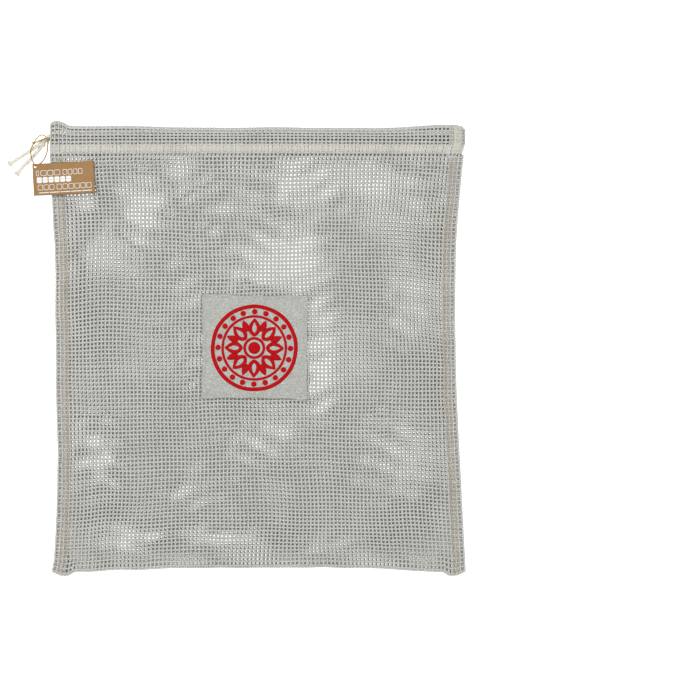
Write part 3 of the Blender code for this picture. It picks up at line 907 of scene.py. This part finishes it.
# The top edge as (x, shift): an ear stands up at the left end, and the right corner is rounded
TOP_EDGE = [
    (-0.1895, 0.0004), (-0.1875, 0.0022), (-0.1850, 0.0031), (-0.1820, 0.0031), (-0.1795, 0.0022),
    (-0.1770, 0.0014), (-0.1740, -0.0004), (-0.1710, -0.0016), (-0.1200, -0.0020), (-0.0900, -0.0024),
    (-0.0500, -0.0035), (0.1000, -0.0035), (0.1300, -0.0028), (0.1500, -0.0018), (0.1650, -0.0006),
    (0.1800, -0.0004), (0.1840, -0.0012), (0.1890, -0.0034),
]


def casing_top_shift(x, across):
    """The upper edge follows the table, with a slight ripple."""
    ripple = 0.0002 * np.sin(x * 95) + 0.0002 * np.sin(x * 41 + 1)
    return float(smoothstep(0.0, CASING_WIDTH / 2, across) * (along_table(TOP_EDGE, x) + ripple))


def casing_low_shift(x, across):
    """The lower edge follows the wall, whose right side bows in."""
    share = 1 - smoothstep(-CASING_WIDTH / 2, 0.0, across)
    return float(share * RIGHT_EDGE[-1][1] * right_share(x))


def stations_round(front_xs, turn_steps):
    """Steps from the left end of the front, round the right side, to the left end of the back."""
    stations = [("front", x) for x in front_xs]
    stations += [("turn", angle) for angle in np.linspace(pi / 2, -pi / 2, turn_steps)]
    return stations + [("back", x) for x in front_xs[::-1]]


def casing_point(station, across, lift):
    """Across runs from the casing's middle towards the mouth, and lift from the tunnel's middle outwards."""
    kind, value = station
    x = value
    if kind == "turn":
        front_z = float(front_casing_z(CASING_RIGHT_X))
        rise = (front_z - BACK_CASING_Z) / 2
        x = CASING_RIGHT_X + (TURN_REACH_X + lift) * cos(value)
        z = (front_z + BACK_CASING_Z) / 2 + (rise + lift) * sin(value)
    elif kind == "front":
        z = float(front_casing_z(x)) + lift
    else:
        z = BACK_CASING_Z - lift
    return (x + casing_low_shift(x, across), CASING_MIDDLE_Y + across + casing_top_shift(x, across), z)


def casing_outward(station):
    kind, value = station
    if kind == "turn":
        return np.array((cos(value), 0.0, sin(value)))
    return np.array((0.0, 0.0, 1.0 if kind == "front" else -1.0))


def casing_profile():
    """(across, lift) at each crossing and between, up the outer face, over the top and down the inner."""
    top = CASING_WIDTH / 2 - YARN_HEIGHT / 2
    rows = np.array([CASING_START_Y, *CASING_ROW_YS]) - CASING_MIDDLE_Y
    outer = np.interp(np.arange(2 * len(rows) - 1) / 2, np.arange(len(rows)), rows)
    points = [(across, FACE_LIFT) for across in outer]
    points += [(top - 0.0006, FACE_LIFT * 0.75), (top, 0.0), (top - 0.0006, -FACE_LIFT * 0.75)]
    return points + [(across, -FACE_LIFT) for across in outer[::-1]]


def add_casing_yarn(tubes, steps):
    """A yarn through (station, across, lift, rise) steps, where rise is out from the face it lies in."""
    line, normals = [], []
    for station, across, lift, rise in steps:
        facing = 1 if lift >= 0 else -1
        line.append(casing_point(station, across, lift + rise * facing))
        normals.append(casing_outward(station) * facing)
    add_yarn(tubes, line, normals)


def make_casing():
    """The tunnel's net: yarns that go over its edge, and yarns that run round the mouth."""
    xs = ROW_U * HALF_WIDTH
    stations = stations_round(xs[xs < CASING_RIGHT_X], TURN_STEPS)
    profile = casing_profile()
    tubes = Tubes()
    for index in range(0, len(stations), 2):
        steps = enumerate(profile)
        add_casing_yarn(tubes, [(stations[index], *spot, weave(step, index // 2, 1)) for step, spot in steps])
    for step in range(2, len(profile) - 2, 2):
        spots = enumerate(stations)
        add_casing_yarn(tubes, [(spot, *profile[step], weave(index, step // 2, -1)) for index, spot in spots])
    casing = tubes.build("casing_net", net_cotton)
    gather(casing, "net_cotton", "casing_front", "casing_back", "casing_right_turn")
    return casing


# The overlock's threads: close ribs across the edge, held by a few threads along it
RIB_ENDS = {"sides": 5, "caps": True}
SEAM_RIB_PITCH = 0.0014
HEM_RIB_PITCH = 0.0013
RIB_SLANT = 0.0009
# Width and height of a rib and of a thread that holds the ribs
END_RIB = (0.0014, 0.0010)
HEM_RIB = (0.00125, 0.0008)
SEAM_RIB = (0.0013, 0.0009)
HOLDING_THREAD = (0.0007, 0.0005)
SEAM_HOLDING_THREAD = (0.0008, 0.0006)
HEM_LOW = 0.1757 - CASING_MIDDLE_Y
HEM_HIGH = 0.1853 - CASING_MIDDLE_Y
HEM_LIFT = FACE_LIFT + 0.00015
END_BAND_LIFT = FACE_LIFT + 0.0004
END_BAND_ANGLES = (radians(85), radians(42))  # how far round the right-hand turn the seam's band reaches
END_BAND_YS = (0.1775, 0.2016)


def shaken(size, count):
    """Small random shifts either way."""
    return size * (chance.random(count) - 0.5)


def make_end_band():
    """The side seam's overlock runs on over the casing's right end."""
    tubes = Tubes()
    stations = [("turn", angle) for angle in np.linspace(*END_BAND_ANGLES, 6)]
    outward = [casing_outward(station) for station in stations]
    low, high = END_BAND_YS
    for y in np.arange(low, high, SEAM_RIB_PITCH):
        shift = shaken(0.0005, 2)[0]
        lift = END_BAND_LIFT - 0.0006 * smoothstep(high - 0.003, high, y)
        line = np.array([casing_point(station, y - CASING_MIDDLE_Y, lift) for station in stations])
        line[:, 1] += shift + np.linspace(-0.5, 0.5, 6) * RIB_SLANT
        tubes.add(line, *END_RIB, normal=outward, **RIB_ENDS)
    for angle in np.linspace(stations[1][1], stations[-2][1], 3):
        station = ("turn", angle)
        reach = np.linspace(low, high, 20) - CASING_MIDDLE_Y
        line = [casing_point(station, across, END_BAND_LIFT + 0.0003) for across in reach]
        tubes.add(line, *HOLDING_THREAD, normal=casing_outward(station), **RIB_ENDS)
    band = tubes.build("casing_end_overlock", end_thread)
    gather(band, "seam_band")
    return band


def make_hem_band():
    """Overlocked edge of the net along the hem: close ribs of thread, and three threads along them."""
    tubes = Tubes()
    stations = stations_round(np.arange(-HALF_WIDTH + 0.002, CASING_RIGHT_X, HEM_RIB_PITCH), 24)
    shares = np.linspace(0, 1, 5)
    for station in stations:
        across, aside, slant = shaken(0.0004, 3)
        lifts = HEM_LIFT - 0.0006 * (2 * shares - 1) ** 4
        reach = HEM_LOW + (HEM_HIGH - HEM_LOW) * shares + across
        line = np.array([casing_point(station, *spot) for spot in zip(reach, lifts)])
        line[:, 0] += aside + (shares - 0.5) * slant
        tubes.add(line, *HEM_RIB, normal=casing_outward(station), **RIB_ENDS)
    normals = [casing_outward(station) for station in stations]
    for share in (0.15, 0.5, 0.85):
        across = HEM_LOW + (HEM_HIGH - HEM_LOW) * share
        line = [casing_point(station, across, HEM_LIFT + 0.0004) for station in stations]
        tubes.add(line, *HOLDING_THREAD, normal=normals, sides=5)
    band = tubes.build("hem_overlock", hem_thread)
    gather(band, "seam_band")
    return band


STITCH = 0.0030
STITCH_GAP = 0.0008
STITCH_DIP = np.array([1.0, 0.25, 0.0, 0.0, 0.25, 1.0])[:, None]
THREAD = 0.0006
FINE_STEP = 0.0005
HEM_STITCH_Y = 0.1775
HEM_STITCH_LIFT = CASING_DEPTH / 2 + 0.0004


def add_stitches(tubes, line, sink=0.0003):
    """Lockstitches: short arcs of thread that dip into the cloth at both ends."""
    line = even_route(np.asarray(line, float), FINE_STEP)
    along = np.arange(len(line)) * FINE_STEP
    for start in np.arange(0.0, along[-1] - STITCH, STITCH + STITCH_GAP):
        places = pick(line, along, start + np.linspace(0, STITCH, len(STITCH_DIP)))
        places = places - np.array(UP) * STITCH_DIP * (sink + THREAD * 0.6)
        tubes.add(places, THREAD, normal=UP, sides=6, caps=True)


def make_hem_stitching(side, xs, lift):
    tubes = Tubes()
    add_stitches(tubes, [casing_point((side, x), HEM_STITCH_Y - CASING_MIDDLE_Y, lift) for x in xs])
    piece = tubes.build("hem_stitches_" + side, sewing_thread)
    gather(piece, "sewing_thread", "hem_stitching_" + side)


casing_net = make_casing()
hem_overlock = make_hem_band()
casing_end_overlock = make_end_band()
make_hem_stitching("front", np.linspace(-0.179, CASING_RIGHT_X - 0.001, 240), HEM_STITCH_LIFT)
make_hem_stitching("back", np.linspace(-0.155, 0.155, 200), -HEM_STITCH_LIFT)


# ---- side seams

# Strips of the seam, as (distance of its outer edge from the side, of its inner edge, lift)
EDGE_STRIP = (0.0008, 0.0050, 0.0001)
BAND_STRIP = (0.0046, 0.0126, 0.0008)
SEAM_STITCH_LIFT = YARN_HEIGHT + 2 * WEAVE_RISE + 0.0005


def add_ribs(tubes, side, strip):
    """Close threads that run across the seam."""
    outer, inner, lift = strip
    shares = np.linspace(0, 1, 5)
    for y in np.arange(FOLD_Y - 0.0006, PANEL_HIGH_Y - 0.0004, SEAM_RIB_PITCH):
        along, aside = shaken(0.0005, 2)
        x = side * (half_width(y) - outer - (inner - outer) * shares + aside)
        line = front_point(x, np.full(5, y), lift)
        line[:, 1] += along + (shares - 0.5) * RIB_SLANT
        line[:, 2] = np.maximum(line[:, 2] - 0.0004 * (2 * shares - 1) ** 4, 0.0012)
        tubes.add(line, *SEAM_RIB, normal=UP, **RIB_ENDS)


def make_side_seam(side, name):
    """Overlocked seam allowance between the walls, its lower edge in thread darkened with painted shade, and
    its stitches.
    """
    band, edge, stitches = Tubes(), Tubes(), Tubes()
    add_ribs(band, side, BAND_STRIP)
    y = np.linspace(FOLD_Y, PANEL_HIGH_Y - 0.001, 150)
    for offset in (0.0058, 0.0086, 0.0114):
        sway = 0.00035 * wave(y, 0.0075, offset * 900)
        line = front_point(side * (half_width(y) - offset) + sway, y, BAND_STRIP[2] + 0.0003)
        band.add(line, *SEAM_HOLDING_THREAD, normal=UP, **RIB_ENDS)
    add_ribs(edge, side, EDGE_STRIP)
    y = np.linspace(-0.189, PANEL_HIGH_Y - 0.002, 300)
    add_stitches(stitches, front_point(side * (half_width(y) - 0.0105), y, SEAM_STITCH_LIFT))
    pieces = []
    for tubes, look, thread, slot_name, nodes in (
        (band, "seam_overlock_", shaded_seam_thread, "seam_band", ["seam_allowance_" + name]),
        (edge, "seam_edge_", shaded_edge_thread, "seam_band", []),
        (stitches, "seam_stitches_", sewing_thread, "sewing_thread", ["side_stitching_" + name]),
    ):
        piece = tubes.build(look + name, thread)
        pieces.append(piece)
        if side > 0:
            gather(piece, slot_name, *nodes)
        else:
            fix_to("bag", piece, slot_name, *nodes)
    return pieces[:2]


seam_left = make_side_seam(-1, "left")
seam_right = make_side_seam(1, "right")


# ---- canvas patch

PATCH_X = -0.003
PATCH_Y = 0.001
PATCH_WIDTH = 0.0965
PATCH_HEIGHT = 0.095
PATCH_THICKNESS = 0.0007
PATCH_INSET = 0.0026
PATCH_LIFT = 2 * NET_LIFT + 0.0007
PATCH_STEPS = 96
PATCH_TURN = radians(-0.7)


def patch_shares(x, y):
    """How far out from the middle of the patch these points are, where its edges are at -1 and 1."""
    return (x - PATCH_X) / (PATCH_WIDTH / 2), (y - PATCH_Y) / (PATCH_HEIGHT / 2)


def patch_z(x, y):
    """Middle of the canvas: it follows the wall, puckers along its stitches and swells at its edge."""
    u, v = patch_shares(x, y)
    wall = front_point(x, y, PATCH_LIFT)[..., 2]
    edge = np.maximum(np.abs(u), np.abs(v))
    near = smoothstep(0.62, 0.93, edge) * (1 - smoothstep(0.955, 1.0, edge))
    run = np.where(np.abs(u) > np.abs(v), y, x)
    pucker = 0.00065 * near * wave(run, 0.0135, 1.3 * np.sin(run * 90))
    stitched = -0.00085 * bump(edge, 1 - 2 * PATCH_INSET / PATCH_WIDTH, 0.012)
    rolled = 0.00030 * bump(edge, 0.988, 0.012) - 0.0005 * smoothstep(0.985, 1.0, edge)
    soft = 0.0004 * np.sin(x * 62 + 1) * np.sin(y * 71) + 0.0003 * np.sin((x + y) * 105)
    return wall + pucker + stitched + rolled + soft * (1 - smoothstep(0.8, 1, edge))


def patch_point(x, y, lift):
    """A point of the patch, which is turned a little and whose edges are not quite straight."""
    u, v = patch_shares(x, y)
    aside = -0.0009 * u * np.cos(v * pi / 2) + 0.0003 * np.sin(y * 260) * np.abs(u) ** 3
    along = -0.0010 * v * np.cos(u * pi / 2) + 0.0003 * np.sin(x * 230 + 2) * np.abs(v) ** 3
    aside = aside - PATCH_TURN * (y - PATCH_Y)
    along = along + PATCH_TURN * (x - PATCH_X)
    return np.stack([x + aside, y + along, patch_z(x, y) + lift], axis=-1)


def make_patch():
    u = np.linspace(-0.5, 0.5, PATCH_STEPS + 1)
    x, y = np.meshgrid(PATCH_X + PATCH_WIDTH * u, PATCH_Y + PATCH_HEIGHT * u)
    patch = add_sheet("patch_cloth", patch_point(x, y, 0.0), canvas)
    thicken(patch, PATCH_THICKNESS)
    fix_to("bag", patch, "canvas", "canvas_patch")
    half_x = PATCH_WIDTH / 2 - PATCH_INSET
    half_y = PATCH_HEIGHT / 2 - PATCH_INSET
    corners = [(-half_x, -half_y), (half_x, -half_y), (half_x, half_y), (-half_x, half_y)]
    tubes = Tubes()
    for start, end in zip(corners, corners[1:] + corners[:1]):
        share = np.linspace(0, 1, 120)
        x = PATCH_X + start[0] + (end[0] - start[0]) * share
        y = PATCH_Y + start[1] + (end[1] - start[1]) * share
        add_stitches(tubes, patch_point(x, y, PATCH_THICKNESS / 2 + 0.00022), 0.0001)
    stitches = tubes.build("patch_stitches", patch_thread)
    fix_to("bag", stitches, "sewing_thread", "patch_stitching")
    return patch, stitches


patch_cloth, patch_stitches = make_patch()


# ---- motif

MOTIF_X = -0.0036
MOTIF_Y = 0.0
PATCH_INK_LIFT = PATCH_THICKNESS / 2 + 0.00009
PATCH_INK = 0.00008
DOT = 0.0001  # a filled shape closes to a hole of this radius
MOTIF_RINGS = ((0.0402, 0.0366), (0.0304, 0.0280), (0.0102, 0.0076))
BEADS = 20
BEAD_RING = 0.0335
BEAD_RADIUS = 0.0026
PETALS = 8
HUB_RADIUS = 0.0056


def add_print(name, shapes, place, material, thickness):
    """Printed shapes as one mesh. Each is the band between two lines of (x, y) points, closed or open."""
    points, faces, count = [], [], 0
    for first, second, closed in shapes:
        points += [first, (first + second) / 2, second]
        faces += net_faces(3, len(first), closed, count)
        count += 3 * len(first)
    piece = add_mesh(name, place(np.concatenate(points)), faces, material)
    thicken(piece, thickness)
    return piece


def ring(outer, inner, count, centre=(0.0, 0.0)):
    angle = np.arange(count) * 2 * pi / count
    return polar(outer, angle, centre), polar(inner, angle, centre), True


def petal(angle, root, length, half):
    """The two edges of a petal that points away from the middle."""
    share = np.linspace(0, 1, 25)
    spread = half * np.sin(pi * share**0.8) ** 0.9
    return [turned(np.stack([root + length * share, across], axis=1), angle) for across in (-spread, spread)]


def on_patch(points):
    return patch_point(points[:, 0] + MOTIF_X, points[:, 1] + MOTIF_Y, PATCH_INK_LIFT)


def make_motif():
    """A plain rosette: rings, a ring of beads, petals and a hub."""
    shapes = [ring(outer, inner, 180) for outer, inner in MOTIF_RINGS]
    for index in range(BEADS):
        shapes.append(ring(BEAD_RADIUS, DOT, 20, polar(BEAD_RING, 2 * pi * index / BEADS)))
    for index in range(PETALS):
        angle = 2 * pi * index / PETALS
        outline, hollow = petal(angle, 0.0104, 0.0174, 0.0058), petal(angle, 0.0140, 0.0098, 0.0020)
        shapes += [(outer, inner, False) for outer, inner in zip(outline, hollow)]
        shapes.append((*petal(angle + pi / PETALS, 0.0160, 0.0118, 0.0031), False))
    shapes.append(ring(HUB_RADIUS, DOT, 48))
    motif = add_print("rosette_print", shapes, on_patch, red_ink, PATCH_INK)
    fix_to("bag", motif, "red_ink", "patch_print")


make_motif()


# ---- hang tag

TAG_LENGTH = 0.056
TAG_HEIGHT = 0.029
TAG_THICKNESS = 0.0005
TAG_CURL = 0.0007
TAG_CENTRE = np.array(Vector((-0.1766, 0.1540, 0.0121)))
TAG_TURN = np.array(Matrix.Rotation(radians(3.0), 3, "Z") @ Matrix.Rotation(radians(-3.5), 3, "Y"))
TAG_HOLE = (-0.0254, 0.0120)
TAG_HOLE_RADIUS = 0.0012
TAG_INK_LIFT = TAG_THICKNESS / 2 + 0.00012
TAG_INK = 0.00006
CARD_STEP = 0.001
# The grid point nearest the hole, and how far the block reaches that makes room for it
HOLE_COLUMN = 3
HOLE_ROW = 27
HOLE_REACH = 2


def card_point(points, lift=0.0):
    """Points on the curled card, from (x, y) in its own flat frame."""
    x, y = np.asarray(points, float).T
    curl = TAG_CURL * (x / (TAG_LENGTH / 2)) ** 2 - TAG_CURL * 0.5
    return np.stack([x, y, curl + lift], axis=-1) @ TAG_TURN.T + TAG_CENTRE


def make_card():
    """Card stock with a punched hole; the mesh runs round the hole in a ring."""
    columns = round(TAG_LENGTH / CARD_STEP) + 1
    rows = round(TAG_HEIGHT / CARD_STEP) + 1
    xs = (np.arange(columns) - (columns - 1) / 2) * CARD_STEP
    ys = (np.arange(rows) - (rows - 1) / 2) * CARD_STEP
    points = [(x, y) for y in ys for x in xs]
    grid = np.array(net_faces(rows, columns, False)).reshape(rows - 1, columns - 1, 4)
    first_row, first_column = HOLE_ROW - HOLE_REACH, HOLE_COLUMN - HOLE_REACH
    kept = np.ones(grid.shape[:2], bool)
    kept[first_row : HOLE_ROW + HOLE_REACH, first_column : HOLE_COLUMN + HOLE_REACH] = False
    faces = grid[kept].tolist()
    rim = []
    corner = first_row * columns + first_column
    for step in (1, columns, -1, -columns):
        rim += [corner + step * index for index in range(2 * HOLE_REACH)]
        corner += step * 2 * HOLE_REACH
    start = len(points)
    points += polar(TAG_HOLE_RADIUS, 2 * pi * np.arange(len(rim)) / len(rim) - 3 * pi / 4, TAG_HOLE).tolist()
    for index, corner in enumerate(rim):
        following = (index + 1) % len(rim)
        faces.append([corner, rim[following], start + following, start + index])
    used, faces = np.unique(faces, return_inverse=True)
    places = card_point(points)[used]
    card = add_mesh("kraft_tag", places, faces.reshape(-1, 4).tolist(), kraft)
    thicken(card, TAG_THICKNESS)
    fix_to("tag", card, "kraft_card", "hang_tag")


# Rows of printed blocks, on the flat card: (left, right, middle height, half height, outlined, blocks)
TAG_BARS = [
    (-0.0250, -0.0224, 0.0057, 0.0025, True, 1), (-0.0208, -0.0030, 0.0057, 0.0025, True, 3),
    (-0.0006, 0.0175, 0.0057, 0.0025, True, 4), (-0.0246, 0.0068, -0.0006, 0.0027, False, 6),
    (-0.0239, -0.0089, -0.0073, 0.0025, True, 3), (-0.0067, 0.0252, -0.0073, 0.0025, True, 6),
    (-0.0233, 0.0252, -0.0121, 0.00040, False, 5),
]
BLOCK_GAP = 0.0007
BLOCK_RIM = 0.00042


def rounded_bar(left, right, middle, half, steps=8):
    """Outline of a bar with round corners."""
    radius = min(half * 0.45, (right - left) / 2.2)
    low, high = middle - half + radius, middle + half - radius
    left, right = left + radius, right - radius
    points = []
    for x, y, turn in ((right, high, 0.0), (left, high, pi / 2), (left, low, pi), (right, low, 3 * pi / 2)):
        for step in range(steps + 1):
            angle = turn + pi / 2 * step / steps
            points.append((x + radius * cos(angle), y + radius * sin(angle)))
    return np.array(points)


def on_card(points):
    return card_point(points, TAG_INK_LIFT)


def make_tag_print():
    """Rows of plain blocks in place of words."""
    shapes = []
    for left, right, middle, half, outlined, blocks in TAG_BARS:
        pitch = (right - left + BLOCK_GAP) / blocks
        for start in left + pitch * np.arange(blocks):
            end = start + pitch - BLOCK_GAP
            outer = rounded_bar(start, end, middle, half)
            inner = outer * (1.0, 0.0) + (0.0, middle)
            if outlined:
                inner = rounded_bar(start + BLOCK_RIM, end - BLOCK_RIM, middle, half - BLOCK_RIM)
            shapes.append((outer, inner, True))
    bars = add_print("tag_bars", shapes, on_card, white_ink, TAG_INK)
    fix_to("tag", bars, "white_ink", "tag_print")


TAG_STRING = 0.0012
TWIST = {"sides": 8, "lobes": 2, "twist": 0.0026, "depth": 0.05}
STRING_KNOT_SIZE = (0.00042, 0.00034, 0.00055)
# From the knot down through the card's hole, up round the cord and back to the knot
STRING_ROUTE = [
    (-0.2040, 0.1862, 0.0093), (-0.2052, 0.1838, 0.0093), (-0.2068, 0.1800, 0.0096),
    (-0.2060, 0.1725, 0.0108), (-0.2036, 0.1672, 0.0121), (-0.2026, 0.1652, 0.0105),
    (-0.2005, 0.1664, 0.0090), (-0.1962, 0.1694, 0.0092), (-0.1930, 0.1750, 0.0096),
    (-0.1914, 0.1810, 0.0100), (-0.1912, 0.1870, 0.0102), (-0.1908, 0.1900, 0.0104),
    (-0.1922, 0.1908, 0.0108), (-0.1950, 0.1897, 0.0104), (-0.1994, 0.1881, 0.0098),
    (-0.2040, 0.1862, 0.0093),
]
# The rest of the loop: from the knot up and round behind the cord
STRING_ARC = [
    (-0.2040, 0.1862, 0.0093), (-0.2022, 0.1894, 0.0092), (-0.1988, 0.1930, 0.0084),
    (-0.1956, 0.1936, 0.0070), (-0.1932, 0.1918, 0.0046), (-0.1916, 0.1890, 0.0050),
    (-0.1911, 0.1858, 0.0090),
]


def make_tag_string():
    tubes = Tubes()
    for route, share in ((STRING_ROUTE, 1.0), (STRING_ARC, 0.9)):
        tubes.add(smooth_route(route, 0.0006), TAG_STRING * share, caps=True, **TWIST)
    fix_to("tag_loop", tubes.build("gold_string", twine), "gold_twine", "tag_string")
    tubes = Tubes()
    tubes.add(STRING_ROUTE[0] + overhand_knot(49, STRING_KNOT_SIZE), TAG_STRING, **TWIST)
    fix_to("tag_loop", tubes.build("gold_knot", twine), "gold_twine", "tag_string_knot")


make_card()
make_tag_print()
make_tag_string()
